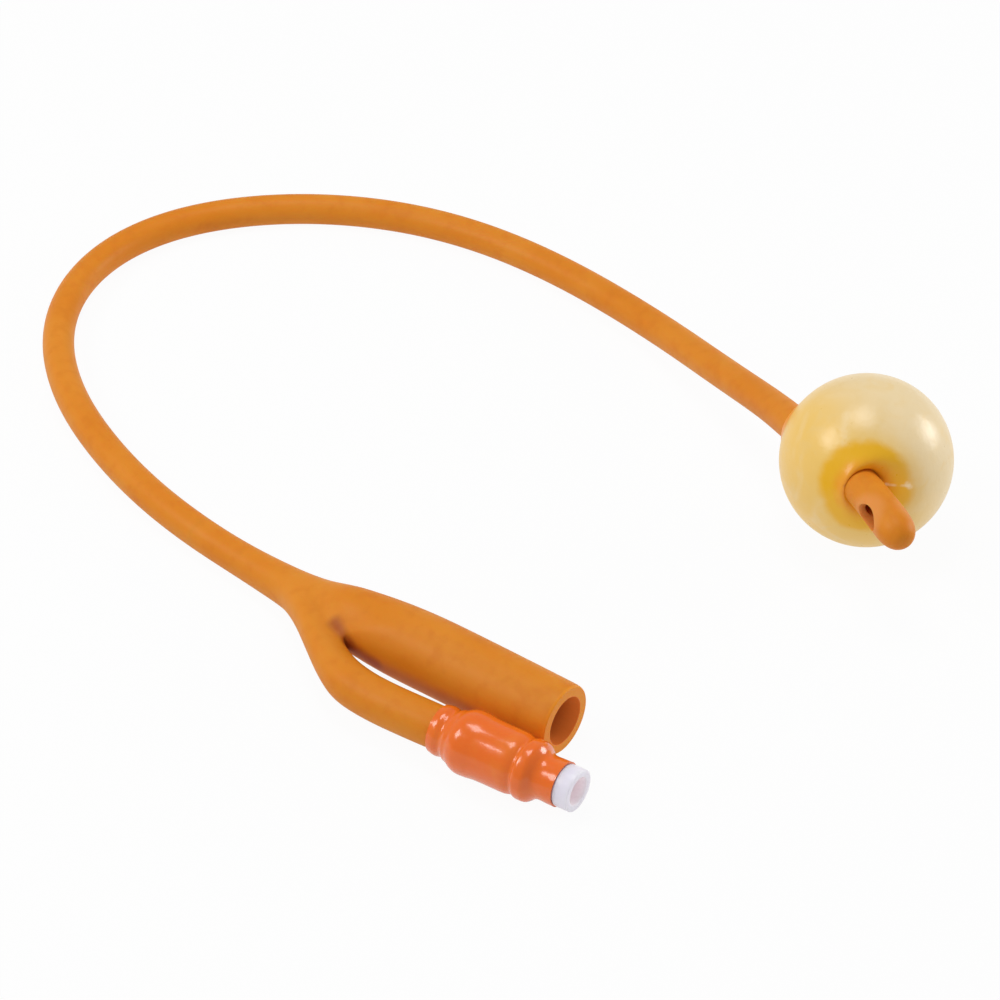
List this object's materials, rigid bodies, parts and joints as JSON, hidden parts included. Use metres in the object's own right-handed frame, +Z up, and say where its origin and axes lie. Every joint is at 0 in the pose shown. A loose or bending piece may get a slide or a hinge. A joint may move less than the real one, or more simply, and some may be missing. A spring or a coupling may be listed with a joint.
{
  "type": "foley urinary catheter",
  "caption": "Two-way latex Foley catheter lying in a loop with its balloon filled, with a drainage funnel, an inflation arm and a sprung check valve.",
  "frame": {"origin": "bottom centre of the part's box, on the table that it lies on", "axes": "+Z up from the table, +X out of the drainage funnel's mouth; the inflation arm lies on the funnel's -Y side and the loop of the shaft on its +Y side"},
  "size_m": [0.1659, 0.1179, 0.0276],
  "materials": {
    "latex": "smooth satin latex, amber orange",
    "balloon_latex": "thin stretched latex, cloudy and glossy",
    "valve_white": "moulded, slightly translucent",
    "seal_rubber": "matt",
    "spring_steel": "drawn wire",
    "sleeve_orange": "glossy shrunk sleeve"
  },
  "bodies": {
    "catheter": {"latex_body": "latex", "balloon": "balloon_latex", "valve_housing": "valve_white", "valve_end_cap": "valve_white", "valve_spring": "spring_steel", "colour_sleeve": "sleeve_orange"},
    "stem": {"valve_stem": "valve_white", "valve_seal": "seal_rubber"}
  },
  "joints": [
    {"name": "stem_push", "type": "slide", "parent": "catheter", "child": "stem", "axis": [-0.9995, -0.0332, 0], "range_m": [0, 0.0018], "stiffness_N_per_m": 250, "springref_m": -0.002, "deforming": ["valve_spring"]}
  ]
}
